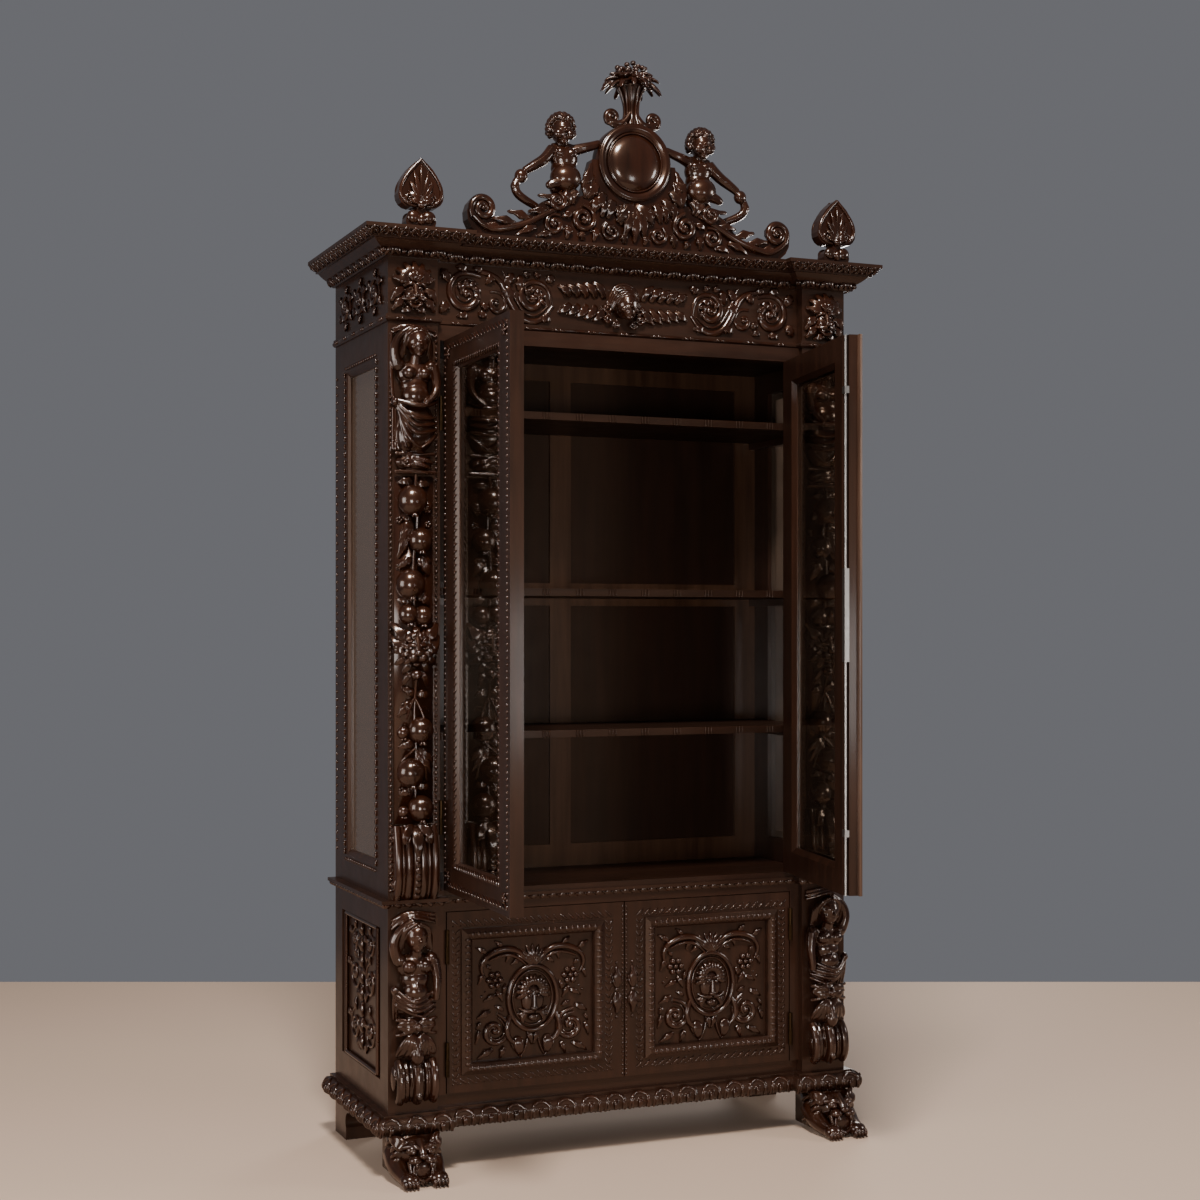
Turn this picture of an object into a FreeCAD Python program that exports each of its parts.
import FreeCAD, Part
import math
import os

V = FreeCAD.Vector

# A carved walnut display cabinet, in millimetres. X runs to the right, Y to the back and Z up.
# The origin is on the floor under the front of the pilasters, at the middle of the width.

# Case
CASE_WIDTH = 1350.0
CASE_DEPTH = 515.0
FOOT_HEIGHT = 112.0
TORUS_HEIGHT = 52.0
PLINTH_HEIGHT = 32.0
LOWER_CASE_HEIGHT = 501.0
WAIST_THICKNESS = 21.0
UPPER_CASE_HEIGHT = 1496.0
NECK_HEIGHT = 19.0
FRIEZE_HEIGHT = 149.0
CORNICE_HEIGHT = 68.0
BREAK_DEPTH = 30.0
PILASTER_WIDTH = 135.0
UPPER_JAMB_WIDTH = 10.5
LOWER_JAMB_WIDTH = 28.5
POST_DEPTH = 70.0
SIDE_THICKNESS = 30.0
FRIEZE_THICKNESS = 28.0
BOARD_THICKNESS = 18.0
DUST_BOARD_THICKNESS = 14.0
BACK_FRAME_THICKNESS = 24.0
BACK_PANEL_THICKNESS = 10.0
BACK_STILE_WIDTH = 69.0
BACK_MUNTIN_WIDTH = 66.0
BACK_MID_RAIL_HEIGHT = 770.0
LOWER_BACK_THICKNESS = 14.0
PLINTH_BOARD_THICKNESS = 60.0

# Side frames
UPPER_SIDE_FRONT_STILE = 40.0
UPPER_SIDE_REAR_STILE = 110.0
UPPER_SIDE_BOTTOM_RAIL = 70.0
UPPER_SIDE_TOP_RAIL = 80.0
LOWER_SIDE_REAR_STILE = 70.0
LOWER_SIDE_BOTTOM_RAIL = 44.0
LOWER_SIDE_TOP_RAIL = 60.0
SIDE_PANEL_THICKNESS = 12.0
GLASS_THICKNESS = 4.0
BEAD_WIDTH = 20.0
BEAD_HEIGHT = 13.0

# Shelves
SHELF_THICKNESS = 20.0
SHELF_TOPS = (424.0, 811.0, 1292.0)
SHELF_SETBACK = 100.0
SHELF_CLEARANCE = 2.0
BATTEN_SIZE = 20.0

# Doors
SILL_HEIGHT = 15.0
UPPER_HEAD_HEIGHT = 40.0
LOWER_HEAD_HEIGHT = 21.0
RAIL_DEPTH = 56.0
DOOR_CLEARANCE = 2.0
HINGE_GAP = 3.0
MEETING_GAP = 3.0
UPPER_DOOR_SETBACK = 14.0
UPPER_DOOR_THICKNESS = 35.0
UPPER_STILE_WIDTH = 78.0
UPPER_DOOR_RAIL_WIDTH = 62.0
LOWER_DOOR_SETBACK = 20.0
LOWER_DOOR_THICKNESS = 28.0
LOWER_HINGE_STILE = 54.0
LOWER_MEETING_STILE = 74.0
LOWER_DOOR_RAIL_WIDTH = 60.0
LOWER_PANEL_THICKNESS = 10.0
LOWER_PANEL_RECESS = 10.0
STOP_WIDTH = 12.0
STOP_CLEARANCE = 3.0
LEFT_DOOR_OPEN_DEGREES = 91.0
RIGHT_DOOR_OPEN_DEGREES = 79.0

# Hinges
KNUCKLE_RADIUS = 6.0
KNUCKLE_CLEARANCE = 0.4
KNUCKLE_FACETS = 9
PIN_RADIUS = 3.0
PIN_CLEARANCE = 0.05
LEAF_THICKNESS = 1.3
LEAF_DEPTH = 24.0
HINGE_LENGTH = 90.0
HINGE_END_DISTANCE = 190.0

# Lock of the right upper door
ROD_RADIUS = 4.0
ROD_CLEARANCE = 0.05
ROD_THROW = 16.0
ROD_ENGAGEMENT = 36.0
LOCK_CHANNEL_WIDTH = 20.0
LOCK_CHANNEL_DEPTH = 12.0
LOCK_LENGTH = 240.0
GUIDE_LENGTH = 18.0
GUIDE_DISTANCE = 150.0
STRIKE_CLEARANCE = 0.8
STRIKE_LENGTH = 84.0
STRIKE_WIDTH = 14.0
STRIKE_THICKNESS = 2.0
ASTRAGAL_WIDTH = 22.0
ASTRAGAL_HEIGHT = 9.0
ASTRAGAL_CLEARANCE = 0.5

# Mouldings
CORNICE_OVERHANG = 80.0
CORNICE_SEAT = 40.0
WAIST_OVERHANG = 23.0
TORUS_OVERHANG = 34.0
NECK_OVERHANG = 9.0
LOWER_MOULDING_INSIDE = 16.0
LOWER_MOULDING_OUTSIDE = 15.0
LOWER_MOULDING_HEIGHT = 14.0
MITRE_MARGIN = 5.0

# Crest and finials
CREST_HALF_WIDTH = 469.0
CREST_TAIL_HEIGHT = 97.0
CREST_SEAT_HEIGHT = 112.0
CREST_THICKNESS = 40.0
CREST_PROJECTION = 75.0
MEDALLION_RADIUS = 106.0
MEDALLION_HEIGHT = 225.0
MEDALLION_THICKNESS = 44.0
MEDALLION_RING = 34.0
MEDALLION_FACETS = 28
CREST_CURVE_FACETS = 5
BOSS_RISE = 14.0
PUTTO_DISTANCE = 205.0
PUTTO_HEAD_RADIUS = 40.0
PUTTO_HEAD_HEIGHT = 305.0
PLUME_HEIGHT = 490.0
PLUME_RADIUS = 84.0
PLUME_LEAVES = 6
FINIAL_DISTANCE = 609.0
FINIAL_WIDTH = 119.0
FINIAL_HEIGHT = 172.0
FINIAL_THICKNESS = 36.0
FINIAL_PROJECTION = 74.0

# Feet
LION_FOOT_REACH = 145.0
LION_FOOT_WIDTH = 124.0
LION_FOOT_BACK = 70.0
PAW_WIDTH = 40.0
REAR_FOOT_WIDTH = 90.0
REAR_FOOT_DEPTH = 110.0

# Carving
CARYATID_HEIGHT = 388.0
CARYATID_DEPTH = 46.0
LOWER_CARYATID_DEPTH = 60.0
CARYATID_HEAD_RADIUS = 35.0
CONSOLE_HEIGHT = 192.0
CONSOLE_WIDTH = 118.0
CONSOLE_DEPTH = 62.0
GARLAND_STRIP_WIDTH = 96.0
GARLAND_STRIP_DEPTH = 8.0
FRUIT_RADIUS = 34.0
FRUIT_OFFSET = 9.0
FRUIT_PROUD = 12.0
FRUIT_HEIGHTS = (43.0, 136.0, 245.0, 544.0, 624.0, 738.0, 841.0)
GARLAND_MASK_HEIGHT = 451.0
RELIEF_FACETS = 5
ROUND_FACETS = 8
LIMB_FACETS = 6
LIMB_LAP = 0.35

# Levels and planes worked out from the sizes above
HALF = CASE_WIDTH / 2
FRONT = 0.0
BACK = FRONT + CASE_DEPTH
Z_TORUS = FOOT_HEIGHT
Z_PLINTH = Z_TORUS + TORUS_HEIGHT
Z_LOWER = Z_PLINTH + PLINTH_HEIGHT
Z_WAIST = Z_LOWER + LOWER_CASE_HEIGHT
Z_UPPER = Z_WAIST + WAIST_THICKNESS
Z_NECK = Z_UPPER + UPPER_CASE_HEIGHT
Z_FRIEZE = Z_NECK + NECK_HEIGHT
Z_CORNICE = Z_FRIEZE + FRIEZE_HEIGHT
Z_TOP = Z_CORNICE + CORNICE_HEIGHT
PILASTER_INNER = HALF - PILASTER_WIDTH
PILASTER_CENTRE = HALF - PILASTER_WIDTH / 2
UPPER_POST_INNER = PILASTER_INNER - UPPER_JAMB_WIDTH
LOWER_POST_INNER = PILASTER_INNER - LOWER_JAMB_WIDTH
SIDE_INNER = HALF - SIDE_THICKNESS
POST_BACK = FRONT + POST_DEPTH
RECESS = FRONT + BREAK_DEPTH
KNUCKLE_OFFSET = KNUCKLE_RADIUS + KNUCKLE_CLEARANCE

os.makedirs("parts", exist_ok=True)


def save(name, solids):
    """Writes one node, a single solid or a group of separate solids."""
    shape = solids[0] if len(solids) == 1 else Part.makeCompound(solids)
    shape.exportStep(f"parts/{name}.step")


def box(x0, x1, y0, y1, z0, z1):
    """A square-cut board between two corners."""
    return Part.makeBox(x1 - x0, y1 - y0, z1 - z0, V(x0, y0, z0))


def mirror_x(shape):
    """The same piece on the other side of the cabinet."""
    return shape.mirror(V(0, 0, 0), V(1, 0, 0))


def pair(shape):
    """A right-hand piece with its left-hand twin."""
    return [shape, mirror_x(shape)]


def outline(start, steps, place, facets=0):
    """A closed wire from (a, b) points: two numbers draw a line, four draw an arc through a middle point.

    With facets, each arc is cut as that many flats."""
    edges = []
    here = start
    for step in steps:
        end = step[-2:]
        if len(step) == 2:
            edges.append(Part.makeLine(place(here), place(end)))
        else:
            arc = Part.Arc(place(here), place(step[:2]), place(end)).toShape()
            corners = arc.discretize(facets + 1) if facets else []
            flats = [Part.makeLine(a, b) for a, b in zip(corners, corners[1:])]
            edges += flats or [arc]
        here = end
    if here != start:
        edges.append(Part.makeLine(place(here), place(start)))
    return Part.Wire(edges)


def plan_prism(points, z0, z1, facets=0):
    """A board with an outline drawn in plan."""
    wire = outline(points[0], points[1:], lambda p: V(p[0], p[1], z0), facets)
    return Part.Face(wire).extrude(V(0, 0, z1 - z0))


def front_prism(start, steps, y0, y1, facets):
    """A sawn board with an outline drawn in front view, as (x, z)."""
    wire = outline(start, steps, lambda p: V(p[0], y0, p[1]), facets)
    return Part.Face(wire).extrude(V(0, y1 - y0, 0))


def side_prism(start, steps, x0, x1):
    """A board with an outline drawn in side view, as (y, z)."""
    wire = outline(start, steps, lambda p: V(x0, p[0], p[1]))
    return Part.Face(wire).extrude(V(x1 - x0, 0, 0))


def mitred_runs(points, closed, start, steps):
    """Lengths of moulding along a path with square corners, each mitred to the next.

    The profile is drawn as (outward, up). Outward is to the right of the path's direction."""
    corners = [V(x, y, 0) for x, y in points]
    count = len(corners) if closed else len(corners) - 1
    ends = [(corners[i], corners[(i + 1) % len(corners)]) for i in range(count)]
    ways = [(b - a).normalize() for a, b in ends]
    normals = [V(w.y, -w.x, 0) for w in ways]
    offsets = [v for step in (start, *steps) for v in step[0::2]]
    outward = max(offsets) + MITRE_MARGIN
    inward = min(offsets) - MITRE_MARGIN
    reach = outward - inward
    runs = []
    for i, (a, b) in enumerate(ends):
        before = normals[i - 1] if closed or i > 0 else V(0, 0, 0)
        after = normals[(i + 1) % count] if closed or i < count - 1 else V(0, 0, 0)
        first = a - ways[i] * reach
        wire = outline(start, steps, lambda p: first + normals[i] * p[0] + V(0, 0, p[1]))
        bar = Part.Face(wire).extrude(ways[i] * ((b - a).Length + 2 * reach))
        keep = [a + (normals[i] + before) * inward, a + (normals[i] + before) * outward]
        keep += [b + (normals[i] + after) * outward, b + (normals[i] + after) * inward]
        plan = [(p.x, p.y) for p in keep]
        low = min(v.Z for v in bar.Vertexes)
        high = max(v.Z for v in bar.Vertexes)
        runs.append(bar.common(plan_prism(plan, low - 1, high + 1)).Solids[0])
    return runs


def case_runs(z, start, steps):
    """A moulding along the sides and front of the case, breaking forward over the pilasters."""
    path = [(-HALF, BACK), (-HALF, FRONT), (-PILASTER_INNER, FRONT), (-PILASTER_INNER, RECESS)]
    path += [(-x, y) for x, y in reversed(path)]
    runs = mitred_runs(path, False, start, steps)
    return [run.translated(V(0, 0, z)) for run in runs]


def panel_runs(x0, x1, z0, z1, y, start, steps):
    """A mitred moulding round an upright rectangle; up in the profile is towards the front."""
    runs = mitred_runs([(x0, z0), (x1, z0), (x1, z1), (x0, z1)], True, start, steps)
    for run in runs:
        run.rotate(V(0, 0, 0), V(1, 0, 0), 90)
        run.translate(V(0, y, 0))
    return runs


def banded(rings):
    """A blocked-out carved form: flat facets between rings with the same number of corners."""
    faces = []
    for points in (rings[0], rings[-1]):
        faces.append(Part.Face(Part.makePolygon([*points, points[0]])))
    for low, high in zip(rings, rings[1:]):
        for k in range(len(low)):
            a, b, c, d = low[k - 1], low[k], high[k], high[k - 1]
            faces.append(Part.Face(Part.makePolygon([a, b, c, a])))
            faces.append(Part.Face(Part.makePolygon([a, c, d, a])))
    solid = Part.Solid(Part.Shell(faces))
    if solid.Volume < 0:
        solid.reverse()
    return solid


def relief(x, y, sections):
    """A carved form that stands out from a flat ground, through (height, width, depth) sections."""
    angles = [math.pi * k / RELIEF_FACETS for k in range(RELIEF_FACETS + 1)]
    rings = []
    for z, width, depth in sections:
        rings.append([V(x + width / 2 * math.cos(t), y - depth * math.sin(t), z) for t in angles])
    return banded(rings)


def turned(x, y, sections):
    """A rounded form on an upright axis, through (height, radius) sections."""
    angles = [2 * math.pi * k / ROUND_FACETS for k in range(ROUND_FACETS)]
    return banded([[V(x + r * math.cos(t), y + r * math.sin(t), z) for t in angles] for z, r in sections])


def ball(centre, radius):
    """A rounded fruit, bud or joint."""
    levels = [(math.sin(t) * radius, math.cos(t) * radius) for t in (-1.16, -0.4, 0.4, 1.16)]
    return turned(centre.x, centre.y, [(centre.z + rise, r) for rise, r in levels])


def limb(points, radii):
    """An arm or leg: tapered lengths with a rounded joint between them."""
    lengths = []
    for start, end, r0, r1 in zip(points, points[1:], radii, radii[1:]):
        way = (end - start).normalize()
        across = way.cross(V(0, 0, 1) if abs(way.z) < 0.9 else V(0, 1, 0)).normalize()
        beside = way.cross(across)
        rings = []
        for place, r in ((start - way * (r0 * LIMB_LAP), r0), (end + way * (r1 * LIMB_LAP), r1)):
            angles = [2 * math.pi * k / LIMB_FACETS for k in range(LIMB_FACETS)]
            rings.append([place + across * (r * math.cos(t)) + beside * (r * math.sin(t)) for t in angles])
        lengths.append(banded(rings))
    return lengths


def joined(pieces):
    """One carved piece cut from a single block."""
    return pieces[0].fuse(pieces[1:]).removeSplitter().Solids[0]


def case_plan(inset):
    """The outline of the case in plan, with the front stepped forward over the pilasters."""
    right = [(PILASTER_INNER, RECESS), (PILASTER_INNER, FRONT), (HALF - inset, FRONT), (HALF - inset, BACK)]
    left = [(-x, y) for x, y in reversed(right)]
    return right + left


def base():
    """Feet, torus moulding and plinth boards."""
    foot_x = HALF - LION_FOOT_WIDTH / 2
    x0 = foot_x - LION_FOOT_WIDTH / 2
    x1 = foot_x + LION_FOOT_WIDTH / 2
    toe = FRONT - LION_FOOT_REACH
    heel = FRONT + LION_FOOT_BACK
    breast = FRONT - TORUS_OVERHANG
    chest_steps = [(breast, FOOT_HEIGHT), (breast - 22, FOOT_HEIGHT - 40, breast - 20, FOOT_HEIGHT - 72)]
    chest_steps += [(breast - 30, 0), (heel, 0)]
    chest = side_prism((heel, FOOT_HEIGHT), chest_steps, x0 + PAW_WIDTH / 3, x1 - PAW_WIDTH / 3)
    paw_steps = [(breast - 8, 62), (toe + 52, 50), (toe + 8, 44, toe, 14), (toe, 0), (FRONT, 0), (FRONT, 62)]
    paws = [side_prism((breast - 8, 62), paw_steps[1:], x, x + PAW_WIDTH) for x in (x0, x1 - PAW_WIDTH)]
    brow = breast - 4
    head = [(30, 54, 44), (48, 76, 66), (74, 84, 62), (96, 70, 42), (FOOT_HEIGHT, 56, 24)]
    jaw_steps = [(brow - 90, 34), (brow - 90, 52), (brow - 26, 44)]
    mouth = side_prism((brow - 26, 40), jaw_steps, foot_x - PAW_WIDTH / 2, foot_x + PAW_WIDTH / 2)
    lion = joined([chest, *paws, relief(foot_x, brow, head)]).cut(mouth)
    save("lion_feet", pair(lion.Solids[0]))

    rear_x = HALF - REAR_FOOT_WIDTH
    step = REAR_FOOT_DEPTH / 4
    rear_steps = [(BACK, 0), (BACK, FOOT_HEIGHT), (BACK - REAR_FOOT_DEPTH - step, FOOT_HEIGHT)]
    rear_steps += [(BACK - REAR_FOOT_DEPTH - step, FOOT_HEIGHT * 0.7)]
    rear_steps += [(BACK - REAR_FOOT_DEPTH + 4, FOOT_HEIGHT * 0.55, BACK - REAR_FOOT_DEPTH, FOOT_HEIGHT * 0.3)]
    rear = side_prism((BACK - REAR_FOOT_DEPTH, 0), rear_steps, rear_x, HALF)
    save("rear_feet", pair(rear))

    seat = PLINTH_BOARD_THICKNESS
    profile = [(20, 0), (TORUS_OVERHANG + 4, 22, 24, 44), (16, 44), (16, TORUS_HEIGHT), (-seat, TORUS_HEIGHT)]
    save("base_torus", case_runs(Z_TORUS, (-seat, 0), profile))

    front_plan = [(HALF, FRONT), (HALF, FRONT + seat + BREAK_DEPTH)]
    front_plan += [(-HALF, FRONT + seat + BREAK_DEPTH), (-HALF, FRONT), (-PILASTER_INNER, FRONT)]
    front_plan += [(-PILASTER_INNER, RECESS), (PILASTER_INNER, RECESS), (PILASTER_INNER, FRONT)]
    boards = [plan_prism(front_plan, Z_PLINTH, Z_LOWER)]
    boards += pair(box(HALF - seat, HALF, FRONT + seat + BREAK_DEPTH, BACK, Z_PLINTH, Z_LOWER))
    boards.append(box(seat - HALF, HALF - seat, BACK - seat, BACK, Z_PLINTH, Z_LOWER))
    save("base_plinth", boards)


def post_plan(inner, door_setback, door_thickness):
    """A corner post in plan: pilaster face, jamb set back to the door's face, and a door stop behind it."""
    jamb = FRONT + door_setback
    stop = jamb + door_thickness + STOP_CLEARANCE
    plan = [(HALF, FRONT), (HALF, POST_BACK), (inner - STOP_WIDTH, POST_BACK), (inner - STOP_WIDTH, stop)]
    return plan + [(inner, stop), (inner, jamb), (PILASTER_INNER, jamb), (PILASTER_INNER, FRONT)]


def lower_case():
    """Posts, sides, back, floor and waist of the lower cupboard."""
    floor_top = Z_LOWER + BOARD_THICKNESS
    floor_back = BACK - LOWER_BACK_THICKNESS
    save("lower_floor_board", [box(-SIDE_INNER, SIDE_INNER, POST_BACK, floor_back, Z_LOWER, floor_top)])
    plan = post_plan(LOWER_POST_INNER, LOWER_DOOR_SETBACK, LOWER_DOOR_THICKNESS)
    save("lower_pilasters", pair(plan_prism(plan, Z_LOWER, Z_WAIST)))
    rear = BACK - LOWER_SIDE_REAR_STILE
    low = Z_LOWER + LOWER_SIDE_BOTTOM_RAIL
    high = Z_WAIST - LOWER_SIDE_TOP_RAIL
    frame = pair(box(SIDE_INNER, HALF, rear, BACK, Z_LOWER, Z_WAIST))
    frame += pair(box(SIDE_INNER, HALF, POST_BACK, rear, Z_LOWER, low))
    frame += pair(box(SIDE_INNER, HALF, POST_BACK, rear, high, Z_WAIST))
    save("lower_side_frames", frame)
    middle = HALF - SIDE_THICKNESS / 2
    half = SIDE_PANEL_THICKNESS / 2
    save("lower_side_panels", pair(box(middle - half, middle + half, POST_BACK, rear, low, high)))
    back = box(-SIDE_INNER, SIDE_INNER, BACK - LOWER_BACK_THICKNESS, BACK, Z_LOWER, Z_WAIST)
    save("lower_back_board", [back])
    save("waist_board", [plan_prism(case_plan(0), Z_WAIST, Z_UPPER)])
    edge = WAIST_OVERHANG
    profile = [(10, 0), (14, 8, 21, 12), (edge, 12), (edge, WAIST_THICKNESS), (0, WAIST_THICKNESS)]
    save("waist_moulding", case_runs(Z_WAIST, (0, 0), profile))


def case_rails():
    """Rails between the posts, above the lower doors and below and above the upper ones."""
    rod_x, rod_y = rod_place()
    hole = ROD_RADIUS + STRIKE_CLEARANCE
    lower_y = FRONT + LOWER_DOOR_SETBACK
    lower = box(-LOWER_POST_INNER, LOWER_POST_INNER, lower_y, POST_BACK, Z_WAIST - LOWER_HEAD_HEIGHT, Z_WAIST)
    stop = LOWER_POST_INNER - STOP_WIDTH
    back = lower_y + LOWER_DOOR_THICKNESS + STOP_CLEARANCE
    lower = lower.cut(Part.makeCompound(pair(box(stop, HALF, back, POST_BACK, Z_LOWER, Z_WAIST))))
    upper_y = FRONT + UPPER_DOOR_SETBACK
    sill_top = Z_UPPER + SILL_HEIGHT
    head_low = Z_NECK - UPPER_HEAD_HEIGHT
    rails = [lower.Solids[0]]
    plates = []
    strike_x0 = rod_x - STRIKE_LENGTH + STRIKE_WIDTH
    strike_x1 = rod_x + STRIKE_WIDTH
    y0 = rod_y - STRIKE_WIDTH / 2
    y1 = rod_y + STRIKE_WIDTH / 2
    post_stop = UPPER_POST_INNER - STOP_WIDTH
    behind = upper_y + UPPER_DOOR_THICKNESS + STOP_CLEARANCE
    ends = Part.makeCompound(pair(box(post_stop, HALF, behind, POST_BACK, Z_UPPER, Z_NECK)))
    bore = Part.makeCylinder(hole, UPPER_CASE_HEIGHT, V(rod_x, rod_y, Z_UPPER))
    for z0, z1, plate_z in ((Z_UPPER, sill_top, sill_top - STRIKE_THICKNESS), (head_low, Z_NECK, head_low)):
        rail = box(-UPPER_POST_INNER, UPPER_POST_INNER, upper_y, upper_y + RAIL_DEPTH, z0, z1).cut(ends)
        plate = box(strike_x0, strike_x1, y0, y1, plate_z, plate_z + STRIKE_THICKNESS)
        rails.append(rail.cut(plate).cut(bore).Solids[0])
        plates.append(plate.cut(bore))
    save("case_rails", rails)
    save("strike_plates", plates)


def upper_case():
    """Posts, glazed sides, panelled back, shelves and ceiling of the upper cabinet."""
    plan = post_plan(UPPER_POST_INNER, UPPER_DOOR_SETBACK, UPPER_DOOR_THICKNESS)
    save("upper_pilasters", pair(plan_prism(plan, Z_UPPER, Z_NECK)))
    front = POST_BACK + UPPER_SIDE_FRONT_STILE
    rear = BACK - UPPER_SIDE_REAR_STILE
    low = Z_UPPER + UPPER_SIDE_BOTTOM_RAIL
    high = Z_NECK - UPPER_SIDE_TOP_RAIL
    frame = pair(box(SIDE_INNER, HALF, POST_BACK, front, Z_UPPER, Z_NECK))
    frame += pair(box(SIDE_INNER, HALF, rear, BACK, Z_UPPER, Z_NECK))
    frame += pair(box(SIDE_INNER, HALF, front, rear, Z_UPPER, low))
    frame += pair(box(SIDE_INNER, HALF, front, rear, high, Z_NECK))
    save("upper_side_frames", frame)
    middle = HALF - SIDE_THICKNESS / 2
    glass = box(middle - GLASS_THICKNESS / 2, middle + GLASS_THICKNESS / 2, front, rear, low, high)
    save("side_glass", pair(glass))
    face = SIDE_THICKNESS / 2 - GLASS_THICKNESS / 2
    profile = [(-BEAD_WIDTH, 4), (-BEAD_WIDTH * 0.6, face * 0.8), (-BEAD_WIDTH * 0.3, face), (0, face), (0, 0)]
    beads = panel_runs(front, rear, low, high, 0, (-BEAD_WIDTH, 0), profile)
    for bead in beads:
        bead.rotate(V(0, 0, 0), V(0, 0, 1), 90)
        bead.translate(V(middle + GLASS_THICKNESS / 2, 0, 0))
    save("side_glazing_beads", beads + [mirror_x(bead) for bead in beads])

    y0 = BACK - BACK_FRAME_THICKNESS
    stile = SIDE_INNER - BACK_STILE_WIDTH
    half_muntin = BACK_MUNTIN_WIDTH / 2
    mid_low = Z_UPPER + BACK_MID_RAIL_HEIGHT
    mid_high = mid_low + BACK_MUNTIN_WIDTH
    rails = ((Z_UPPER, Z_UPPER + BACK_MUNTIN_WIDTH), (mid_low, mid_high), (Z_NECK - BACK_MUNTIN_WIDTH, Z_NECK))
    frame = pair(box(stile, SIDE_INNER, y0, BACK, Z_UPPER, Z_NECK))
    frame.append(box(-half_muntin, half_muntin, y0, BACK, Z_UPPER, Z_NECK))
    panels = []
    panel_y = y0 + (BACK_FRAME_THICKNESS - BACK_PANEL_THICKNESS) / 2
    for z0, z1 in rails:
        frame += pair(box(half_muntin, stile, y0, BACK, z0, z1))
    for (_, z0), (z1, _) in zip(rails, rails[1:]):
        panels += pair(box(half_muntin, stile, panel_y, panel_y + BACK_PANEL_THICKNESS, z0, z1))
    save("upper_back_frame", frame)
    save("upper_back_panels", panels)

    shelves = []
    battens = []
    shelf_x = SIDE_INNER - SHELF_CLEARANCE
    shelf_back = y0 - SHELF_CLEARANCE
    for height in SHELF_TOPS:
        top = Z_UPPER + height
        bottom = top - SHELF_THICKNESS
        shelves.append(box(-shelf_x, shelf_x, FRONT + SHELF_SETBACK, shelf_back, bottom, top))
        battens += pair(box(SIDE_INNER - BATTEN_SIZE, SIDE_INNER, POST_BACK, y0, bottom - BATTEN_SIZE, bottom))
    save("shelves", shelves)
    save("shelf_battens", battens)


def entablature():
    """Neck moulding, frieze, dust board and cornice."""
    seat = FRIEZE_THICKNESS
    edge = NECK_OVERHANG
    neck = [(edge - 5, 0), (edge, 5), (edge, 10), (edge - 3, NECK_HEIGHT - 5), (edge - 3, NECK_HEIGHT)]
    neck += [(-seat, NECK_HEIGHT)]
    save("neck_moulding", case_runs(Z_NECK, (-seat, 0), neck))
    inner = RECESS + seat
    save("frieze_board", [box(-HALF, HALF, RECESS, inner, Z_FRIEZE, Z_CORNICE)])
    save("frieze_blocks", pair(box(PILASTER_INNER, HALF, FRONT, RECESS, Z_FRIEZE, Z_CORNICE)))
    sides = pair(box(HALF - seat, HALF, inner, BACK, Z_FRIEZE, Z_CORNICE))
    sides.append(box(seat - HALF, HALF - seat, BACK - seat, BACK, Z_FRIEZE, Z_CORNICE))
    save("frieze_side_boards", sides)
    dust = plan_prism(case_plan(0), Z_CORNICE, Z_CORNICE + DUST_BOARD_THICKNESS)
    y1 = BACK - BACK_FRAME_THICKNESS
    ceiling = box(-SIDE_INNER, SIDE_INNER, POST_BACK, y1, Z_NECK - BOARD_THICKNESS, Z_NECK)
    save("top_boards", [dust, ceiling])
    edge = CORNICE_OVERHANG
    top = CORNICE_HEIGHT
    bed = DUST_BOARD_THICKNESS
    cornice = [(8, 0), (13, bed / 3), (13, bed * 2 / 3), (8, bed), (20, bed), (34, bed + 8, 50, bed + 22)]
    cornice += [(58, bed + 22), (58, bed + 30), (66, top - 20, edge - 6, top - 10), (edge, top - 10), (edge, top)]
    cornice += [(-CORNICE_SEAT, top), (-CORNICE_SEAT, bed), (0, bed)]
    save("cornice_moulding", case_runs(Z_CORNICE, (0, 0), cornice))
    mid = (Z_FRIEZE + Z_CORNICE) / 2
    mask = [(mid - 62, 40, 18), (mid - 40, 80, 36), (mid, 98, 46), (mid + 36, 92, 40), (mid + 62, 60, 20)]
    save("frieze_mask", [relief(0, RECESS, mask)])


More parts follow.
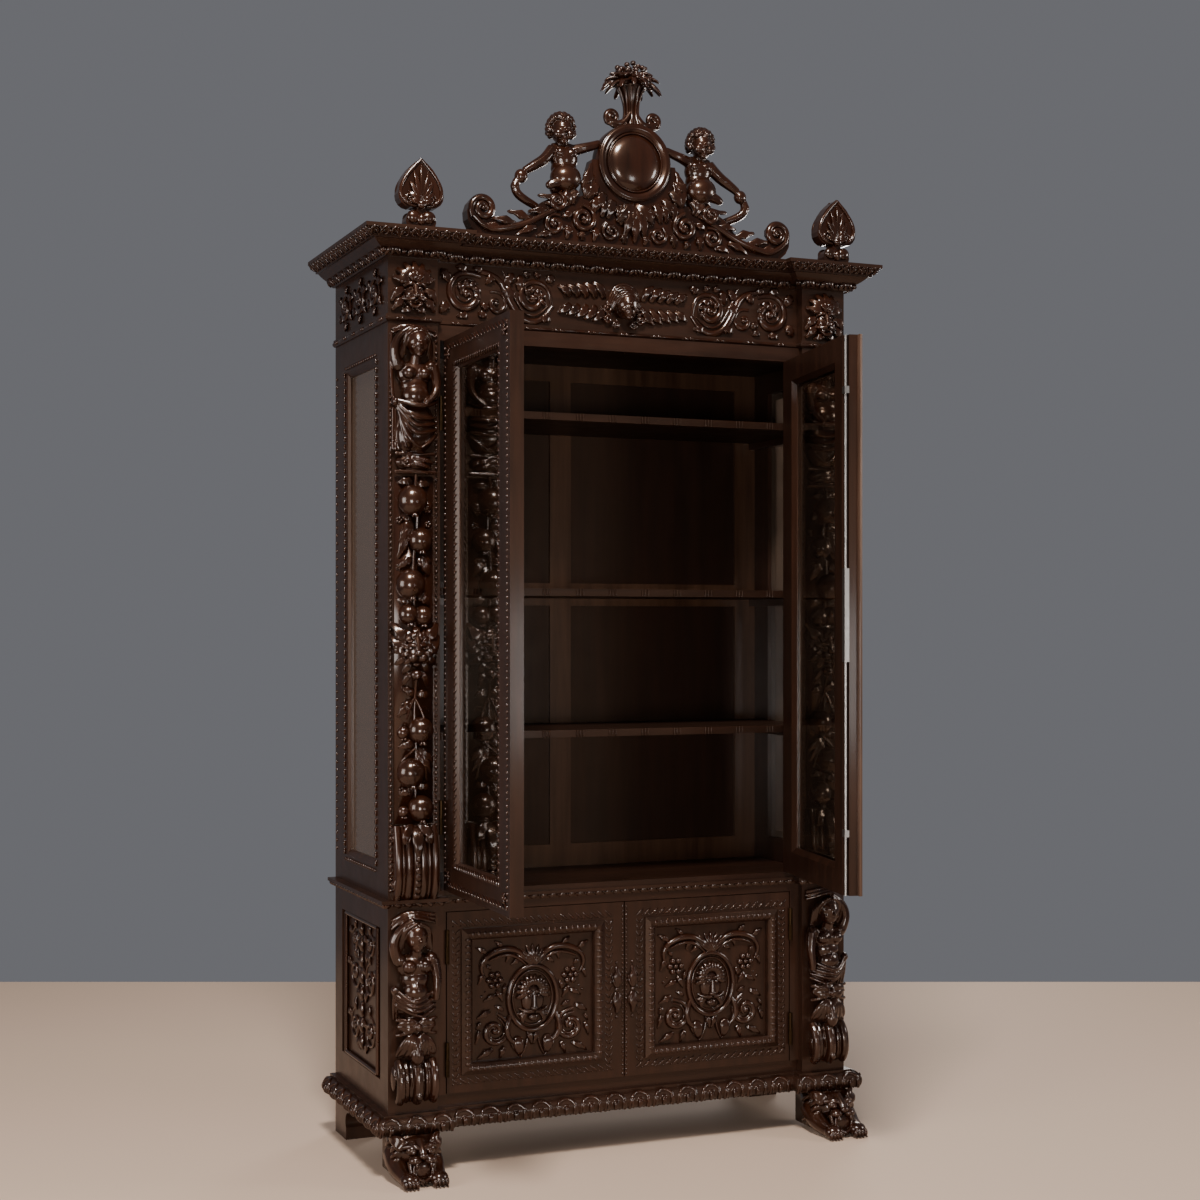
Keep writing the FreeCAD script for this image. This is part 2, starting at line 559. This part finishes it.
def crest():
    """Crest board with scrolled tails, medallion, two putti, plume, and the palmette finials at the corners."""
    y0 = RECESS - CREST_PROJECTION
    y1 = y0 + CREST_THICKNESS
    z = Z_TOP
    centre = z + MEDALLION_HEIGHT
    w = CREST_HALF_WIDTH
    h = CREST_SEAT_HEIGHT
    t = CREST_TAIL_HEIGHT
    r = MEDALLION_RADIUS
    seat = z + h
    tail = [(w * 0.95, z), (w * 1.013, z + t * 0.54, w * 0.966, z + t)]
    tail += [(w * 0.9, z + t * 0.96, w * 0.906, z + t * 0.59)]
    slope = [(w * 0.81, z + h * 0.3, w * 0.64, z + h * 0.55), (w * 0.54, z + h * 0.93, PUTTO_DISTANCE, seat)]
    shoulder = [(r * 1.415, z + h * 1.1), (r * 1.15, z + h * 2), (0, centre)]
    half = front_prism((0, z), tail + slope + shoulder, y0, y1, CREST_CURVE_FACETS)
    board = joined(pair(half))
    angles = [2 * math.pi * k / MEDALLION_FACETS for k in range(MEDALLION_FACETS)]
    ends = (y0 - CREST_THICKNESS, y1 + CREST_THICKNESS)
    disc = banded([[V(r * math.cos(t), y, centre + r * math.sin(t)) for t in angles] for y in ends])
    board = board.cut(disc).Solids[0]

    face = y1 - MEDALLION_THICKNESS
    boss = r - MEDALLION_RING
    steps = [(r, y1), (r, face + 12), (r - 6, face + 3), (r - 18, face + 3), (r - 24, face + 12)]
    steps += [(boss, face + 14), (boss * 0.7, face + 14 - BOSS_RISE * 0.5), (boss * 0.3, face + 14 - BOSS_RISE)]
    medallion = banded([[V(a * math.cos(t), y, centre + a * math.sin(t)) for t in angles] for a, y in steps])
    save("crest_board", [board])
    save("crest_medallion", [medallion])

    mid_y = (y0 + y1) / 2
    x = PUTTO_DISTANCE
    head = z + PUTTO_HEAD_HEIGHT
    r = PUTTO_HEAD_RADIUS
    shoulder = head - r * 1.6
    hip = seat + r * 0.85
    torso = [(seat, r * 0.75), (hip, r * 0.97), (shoulder - r * 0.6, r * 0.85), (shoulder, r * 0.65)]
    torso.append((head - r * 0.9, r * 0.38))
    skull = [(head - r * 0.6, r * 0.84), (head + r * 0.1, r), (head + r * 0.65, r * 0.8), (head + r, r * 0.3)]
    knee = V(x + r * 0.65, mid_y - r * 1.05, seat + r * 0.65)
    foot = V(x + r * 0.3, mid_y - r * 1.15, seat - r * 0.85)
    body = [turned(x, mid_y, torso + skull)]
    outer = [V(x + r * 0.35, mid_y, shoulder - r * 0.2), V(x + r * 1.4, mid_y - r * 0.25, shoulder - r * 0.65)]
    outer += [V(x + r * 2.3, mid_y - r * 0.35, hip), V(x + r * 2.5, mid_y - r * 0.3, seat + r * 0.1)]
    inner = [V(x - r * 0.25, mid_y, shoulder - r * 0.25)]
    inner.append(V(MEDALLION_RADIUS + r * 0.6, mid_y - r * 0.1, shoulder + r * 0.15))
    thigh = V(x - r * 0.15, mid_y - r * 0.15, hip - r * 0.2)
    body += limb(outer, [r * 0.45, r * 0.35, r * 0.28, r * 0.42])
    body += limb(inner, [r * 0.42, r * 0.3])
    body += limb([thigh, knee, foot], [r * 0.8, r * 0.58, r * 0.35])
    front = box(0, HALF, y0 - HALF, y0, z, seat)
    above = box(0, HALF, y0 - HALF, y0 + HALF, seat, z + PLUME_HEIGHT)
    putto = joined(body).common(above.fuse(front)).cut(board).cut(disc)
    save("crest_putti", pair(max(putto.Solids, key=lambda part: part.Volume)))

    low = centre + MEDALLION_RADIUS
    bunch = z + PLUME_HEIGHT
    trunk = [(low - 8, 17), (low + 24, 14), (bunch - 70, 24), (bunch - 40, 34), (bunch - 8, 14)]
    plume = [turned(0, mid_y, trunk)]
    for k in range(PLUME_LEAVES):
        angle = 2 * math.pi * k / PLUME_LEAVES
        tip = V(PLUME_RADIUS * math.cos(angle), mid_y + PLUME_RADIUS / 2 * math.sin(angle), bunch - 44)
        bend = V(tip.x * 0.6, (tip.y + mid_y) / 2, bunch - 16)
        plume += limb([V(0, mid_y, bunch - 28), bend, tip], [18, 20, 8])
    for s in (-1, 1):
        plume.append(ball(V(s * 54, mid_y, low), 24))
        plume += limb([V(s * 44, mid_y, low + 6), V(0, mid_y, low + 18)], [12, 14])
    plume = joined(plume).cut(disc)
    save("crest_plume", [max(plume.Solids, key=lambda part: part.Volume)])

    half = FINIAL_WIDTH / 2
    tip = z + FINIAL_HEIGHT
    lobe = [(half - 20, tip - 36, half - 2, z + 92), (half - 6, z + 58, half - 30, z + 46), (10, z + 50)]
    lobe += [(14, z + 36), (34, z + 28, 38, z)]
    other = [(-38, z), (-34, z + 28, -14, z + 36), (-10, z + 50), (30 - half, z + 46)]
    other += [(6 - half, z + 58, 2 - half, z + 92), (20 - half, tip - 36, 0, tip)]
    y = FRONT - FINIAL_PROJECTION
    finial = front_prism((0, tip), lobe + other, y, y + FINIAL_THICKNESS, CREST_CURVE_FACETS)
    save("finials", pair(finial.translated(V(FINIAL_DISTANCE, 0, 0))))


def carving():
    """Caryatids, fruit garlands and consoles on the faces of the pilasters."""
    x = PILASTER_CENTRE
    top = Z_NECK - 4
    z = top - CARYATID_HEIGHT
    d = CARYATID_DEPTH
    h = CARYATID_HEIGHT
    sections = [(z, 112, d * 0.7), (z + h * 0.11, 104, d * 0.62), (z + h * 0.16, 112, d * 0.9)]
    sections += [(z + h * 0.31, 100, d), (z + h * 0.46, 80, d * 0.86)]
    sections += [(z + h * 0.55, 74, d * 0.8), (z + h * 0.65, 94, d)]
    sections += [(z + h * 0.71, 100, d * 0.8), (z + h * 0.75, 46, d * 0.5), (z + h * 0.79, 44, d * 0.48)]
    r = CARYATID_HEAD_RADIUS
    face = z + h * 0.86
    sections += [(face - r * 0.5, 1.8 * r, d * 0.8), (face, 2 * r, d), (face + r * 0.6, 1.7 * r, d * 0.8)]
    sections += [(face + r, r, d * 0.4)]
    figure = [relief(x, FRONT, sections)]
    for s in (-1, 1):
        shoulder = V(x + s * 38, FRONT - 18, z + h * 0.68)
        elbow = V(x + s * 52, FRONT - 16, face)
        figure += limb([shoulder, elbow, V(x + s * 14, FRONT - 14, top - 14)], [16, 14, 12])
    ground = box(0, CASE_WIDTH, FRONT - CASE_DEPTH, FRONT, 0, Z_TOP)
    save("upper_caryatids", pair(joined(figure).common(ground).Solids[0]))

    low = Z_UPPER + CONSOLE_HEIGHT
    m = GARLAND_STRIP_WIDTH
    garland = [box(x - m / 2, x + m / 2, FRONT - GARLAND_STRIP_DEPTH, FRONT, low, z)]
    side = -1
    for height in FRUIT_HEIGHTS:
        garland.append(ball(V(x + side * FRUIT_OFFSET, FRONT - FRUIT_PROUD, low + height), FRUIT_RADIUS))
        side = -side
    mask_z = low + GARLAND_MASK_HEIGHT
    mask = [(mask_z - m * 0.77, m * 0.42, m * 0.19), (mask_z - m * 0.31, m * 0.9, m * 0.42)]
    mask += [(mask_z + m * 0.1, m * 1.12, m * 0.56), (mask_z + m * 0.52, m * 1.04, m * 0.46)]
    mask += [(mask_z + m * 0.77, m * 0.62, m * 0.25)]
    garland.append(relief(x, FRONT, mask))
    save("fruit_garlands", pair(joined(garland).common(ground).Solids[0]))

    d = CONSOLE_DEPTH
    z = Z_UPPER
    c = CONSOLE_HEIGHT
    scroll = [(FRONT, low), (FRONT - d * 0.42, low)]
    scroll += [(FRONT - d * 0.62, z + c * 0.86, FRONT - d * 0.42, z + c * 0.73)]
    scroll += [(FRONT - d * 0.52, z + c * 0.54, FRONT - d * 0.82, z + c * 0.42)]
    scroll += [(FRONT - d, z + c * 0.21, FRONT - d * 0.8, z + c * 0.03), (FRONT - d * 0.7, z)]
    console = side_prism((FRONT, z), scroll, x - CONSOLE_WIDTH / 2, x + CONSOLE_WIDTH / 2)
    save("pilaster_consoles", pair(console))

    d = LOWER_CARYATID_DEPTH
    z = Z_LOWER
    h = LOWER_CASE_HEIGHT
    sections = [(z, 116, d * 0.8), (z + h * 0.08, 118, d * 0.95), (z + h * 0.18, 94, d * 0.62)]
    sections += [(z + h * 0.22, 92, d * 0.7), (z + h * 0.32, 108, d * 0.86), (z + h * 0.37, 84, d * 0.7)]
    sections += [(z + h * 0.43, 104, d * 0.9), (z + h * 0.51, 92, d * 0.78), (z + h * 0.59, 72, d * 0.6)]
    sections += [(z + h * 0.68, 98, d * 0.82), (z + h * 0.73, 104, d * 0.66), (z + h * 0.77, 46, d * 0.5)]
    face = z + h * 0.84
    sections += [(z + h * 0.805, 1.8 * r, d * 0.62), (face, 2 * r, d * 0.76), (z + h * 0.882, 1.7 * r, d * 0.6)]
    sections += [(z + h * 0.91, r, d * 0.3)]
    figure = [relief(x, FRONT, sections)]
    for s in (-1, 1):
        shoulder = V(x + s * 40, FRONT - 20, z + h * 0.71)
        hand = V(x + s * h * 0.016, FRONT - 16, z + h * 0.95)
        elbow = V(x + s * 54, FRONT - 18, z + h * 0.86)
        figure += limb([shoulder, elbow, hand], [h * 0.034, h * 0.028, h * 0.026])
    save("lower_caryatids", pair(joined(figure).common(ground).Solids[0]))


def rod_place():
    """Where the bolt rod stands in plan with the right upper door closed."""
    x = MEETING_GAP / 2 + LOCK_CHANNEL_WIDTH / 2
    y = FRONT + UPPER_DOOR_SETBACK + UPPER_DOOR_THICKNESS - LOCK_CHANNEL_DEPTH / 2
    return x, y


def hinge_axis(post_inner, door_setback):
    """The pin's place in plan on the right-hand side."""
    return post_inner - HINGE_GAP / 2, FRONT + door_setback - KNUCKLE_OFFSET


def hinges(post_inner, door_setback, heights):
    """Lift-off hinges of the right-hand side: case halves with the pin, door halves with the bored knuckle."""
    ax, ay = hinge_axis(post_inner, door_setback)
    tail = ay + KNUCKLE_OFFSET + LEAF_DEPTH
    near = HINGE_GAP / 2 - LEAF_THICKNESS
    far = HINGE_GAP / 2
    near_y = ay + math.sqrt(KNUCKLE_RADIUS**2 - near**2)
    far_y = ay + math.sqrt(KNUCKLE_RADIUS**2 - far**2)
    plans = []
    for s in (1, -1):
        plan = [(ax + s * far, far_y), (ax + s * far, tail), (ax + s * near, tail), (ax + s * near, near_y)]
        plans.append(plan + [(ax, ay - KNUCKLE_RADIUS, ax + s * far, far_y)])
    case_leaves = []
    door_leaves = []
    for middle in heights:
        z0 = middle - HINGE_LENGTH / 2
        z1 = middle + HINGE_LENGTH / 2
        pin = Part.makeCylinder(PIN_RADIUS, HINGE_LENGTH / 2 - KNUCKLE_RADIUS, V(ax, ay, middle))
        case_leaves.append(joined([plan_prism(plans[0], z0, middle, KNUCKLE_FACETS), pin]))
        bore = Part.makeCylinder(PIN_RADIUS + PIN_CLEARANCE, HINGE_LENGTH, V(ax, ay, z0))
        knuckle = plan_prism(plans[1], middle + KNUCKLE_CLEARANCE, z1, KNUCKLE_FACETS)
        door_leaves.append(knuckle.cut(bore).Solids[0])
    return case_leaves, door_leaves


def upper_door():
    """The right upper door, closed, as named groups of solids."""
    x0 = MEETING_GAP / 2
    x1 = UPPER_POST_INNER - HINGE_GAP
    z0 = Z_UPPER + SILL_HEIGHT + DOOR_CLEARANCE
    z1 = Z_NECK - UPPER_HEAD_HEIGHT - DOOR_CLEARANCE
    y0 = FRONT + UPPER_DOOR_SETBACK
    y1 = y0 + UPPER_DOOR_THICKNESS
    sx0 = x0 + UPPER_STILE_WIDTH
    sx1 = x1 - UPPER_STILE_WIDTH
    rz0 = z0 + UPPER_DOOR_RAIL_WIDTH
    rz1 = z1 - UPPER_DOOR_RAIL_WIDTH
    meeting = box(x0, sx0, y0, y1, z0, z1)
    frame = [meeting, box(sx1, x1, y0, y1, z0, z1)]
    frame += [box(sx0, sx1, y0, y1, z0, rz0), box(sx0, sx1, y0, y1, rz1, z1)]
    middle = (y0 + y1) / 2
    glass = box(sx0, sx1, middle - GLASS_THICKNESS / 2, middle + GLASS_THICKNESS / 2, rz0, rz1)
    face = middle - GLASS_THICKNESS / 2
    proud = face - y0
    front = [(-BEAD_WIDTH, 4), (-BEAD_WIDTH * 0.6, proud * 0.8), (-BEAD_WIDTH * 0.3, proud), (0, proud), (0, 0)]
    beads = panel_runs(sx0, sx1, rz0, rz1, face, (-BEAD_WIDTH, 0), front)
    rear = [(-BEAD_HEIGHT, 0), (-BEAD_HEIGHT, -4), (0, -proud)]
    beads += panel_runs(sx0, sx1, rz0, rz1, middle + GLASS_THICKNESS / 2, (0, 0), rear)
    heights = (z0 + HINGE_END_DISTANCE, z1 - HINGE_END_DISTANCE)
    case, leaves = hinges(UPPER_POST_INNER, UPPER_DOOR_SETBACK, heights)
    return {"frame": frame, "glass": [glass], "beads": beads, "hinge_leaves": leaves}, case, (x0, y0, y1, z0, z1)


def door_lock(x0, y0, y1, z0, z1):
    """Lock case, rod guides, rods and astragal in the meeting stile of the right upper door, closed."""
    rod_x, rod_y = rod_place()
    channel = box(x0, x0 + LOCK_CHANNEL_WIDTH, y1 - LOCK_CHANNEL_DEPTH, y1, z0, z1)
    mid = (z0 + z1) / 2
    lock_low = mid - LOCK_LENGTH / 2
    lock_high = mid + LOCK_LENGTH / 2
    bore = Part.makeCylinder(ROD_RADIUS + ROD_CLEARANCE, z1 - z0, V(rod_x, rod_y, z0))
    depth = ROD_ENGAGEMENT + ROD_CLEARANCE
    top_bore = Part.makeCylinder(ROD_RADIUS + ROD_CLEARANCE, depth, V(rod_x, rod_y, lock_high - depth))
    low_bore = Part.makeCylinder(ROD_RADIUS + ROD_CLEARANCE, depth, V(rod_x, rod_y, lock_low))
    case = box(x0, x0 + LOCK_CHANNEL_WIDTH, y1 - LOCK_CHANNEL_DEPTH, y1, lock_low, lock_high)
    fittings = [case.cut(top_bore).cut(low_bore).Solids[0]]
    for z in (z0 + GUIDE_DISTANCE, z1 - GUIDE_DISTANCE):
        guide = box(x0, x0 + LOCK_CHANNEL_WIDTH, y1 - LOCK_CHANNEL_DEPTH, y1, z, z + GUIDE_LENGTH)
        fittings.append(guide.cut(bore).Solids[0])
    upper = lock_high - ROD_ENGAGEMENT
    rod_up = Part.makeCylinder(ROD_RADIUS, z1 - upper, V(rod_x, rod_y, upper))
    rod_down = Part.makeCylinder(ROD_RADIUS, lock_low + ROD_ENGAGEMENT - z0, V(rod_x, rod_y, z0))
    half = ASTRAGAL_WIDTH / 2
    gap = ASTRAGAL_CLEARANCE
    steps = [(half, y0), (half - 3, y0 - ASTRAGAL_HEIGHT), (3 - half, y0 - ASTRAGAL_HEIGHT), (-half, y0 - 3)]
    steps += [(-half, y0 - gap), (x0, y0 - gap)]
    astragal = plan_prism([(x0, y0), *steps], z0, z1)
    return channel, {"lock": fittings, "astragal": [astragal]}, rod_up, rod_down


def lower_door():
    """The right lower door, closed, as named groups of solids."""
    x0 = MEETING_GAP / 2
    x1 = LOWER_POST_INNER - HINGE_GAP
    z0 = Z_LOWER + DOOR_CLEARANCE
    z1 = Z_WAIST - LOWER_HEAD_HEIGHT - DOOR_CLEARANCE
    y0 = FRONT + LOWER_DOOR_SETBACK
    y1 = y0 + LOWER_DOOR_THICKNESS
    sx0 = x0 + LOWER_MEETING_STILE
    sx1 = x1 - LOWER_HINGE_STILE
    rz0 = z0 + LOWER_DOOR_RAIL_WIDTH
    rz1 = z1 - LOWER_DOOR_RAIL_WIDTH
    frame = [box(x0, sx0, y0, y1, z0, z1), box(sx1, x1, y0, y1, z0, z1)]
    frame += [box(sx0, sx1, y0, y1, z0, rz0), box(sx0, sx1, y0, y1, rz1, z1)]
    panel_y = y0 + LOWER_PANEL_RECESS
    panel = box(sx0, sx1, panel_y, panel_y + LOWER_PANEL_THICKNESS, rz0, rz1)
    inside = LOWER_MOULDING_INSIDE
    rise = LOWER_MOULDING_HEIGHT
    profile = [(-inside, 2), (-inside / 2, rise - 2, 2, rise), (LOWER_MOULDING_OUTSIDE, rise / 2)]
    profile += [(LOWER_MOULDING_OUTSIDE, 0), (0, 0), (0, -LOWER_PANEL_RECESS)]
    moulding = panel_runs(sx0, sx1, rz0, rz1, y0, (-inside, -LOWER_PANEL_RECESS), profile)
    heights = (z0 + HINGE_LENGTH, z1 - HINGE_LENGTH)
    case, leaves = hinges(LOWER_POST_INNER, LOWER_DOOR_SETBACK, heights)
    return {"frame": frame, "panel": [panel], "moulding": moulding, "hinge_leaves": leaves}, case


def opened(solids, axis, angle):
    """Solids turned about an upright hinge axis."""
    swung = [solid.copy() for solid in solids]
    for solid in swung:
        solid.rotate(V(axis[0], axis[1], 0), V(0, 0, 1), angle)
    return swung


def doors():
    """Both pairs of doors with their hinges: the upper pair stands open, the lower pair is shut."""
    groups, case, place = upper_door()
    axis = hinge_axis(UPPER_POST_INNER, UPPER_DOOR_SETBACK)
    save("upper_hinge_case_leaves", case + [mirror_x(leaf) for leaf in case])
    for name, solids in groups.items():
        left = opened([mirror_x(solid) for solid in solids], (-axis[0], axis[1]), -LEFT_DOOR_OPEN_DEGREES)
        save(f"upper_door_left_{name}", left)
    channel, fittings, rod_up, rod_down = door_lock(*place)
    groups["frame"][0] = groups["frame"][0].cut(channel).Solids[0]
    for name, solids in {**groups, **fittings}.items():
        save(f"upper_door_right_{name}", opened(solids, axis, RIGHT_DOOR_OPEN_DEGREES))
    save("bolt_rod_upper", opened([rod_up], axis, RIGHT_DOOR_OPEN_DEGREES))
    save("bolt_rod_lower", opened([rod_down], axis, RIGHT_DOOR_OPEN_DEGREES))

    groups, case = lower_door()
    save("lower_hinge_case_leaves", case + [mirror_x(leaf) for leaf in case])
    for name, solids in groups.items():
        save(f"lower_door_right_{name}", solids)
        save(f"lower_door_left_{name}", [mirror_x(solid) for solid in solids])


base()
lower_case()
case_rails()
upper_case()
entablature()
crest()
carving()
doors()
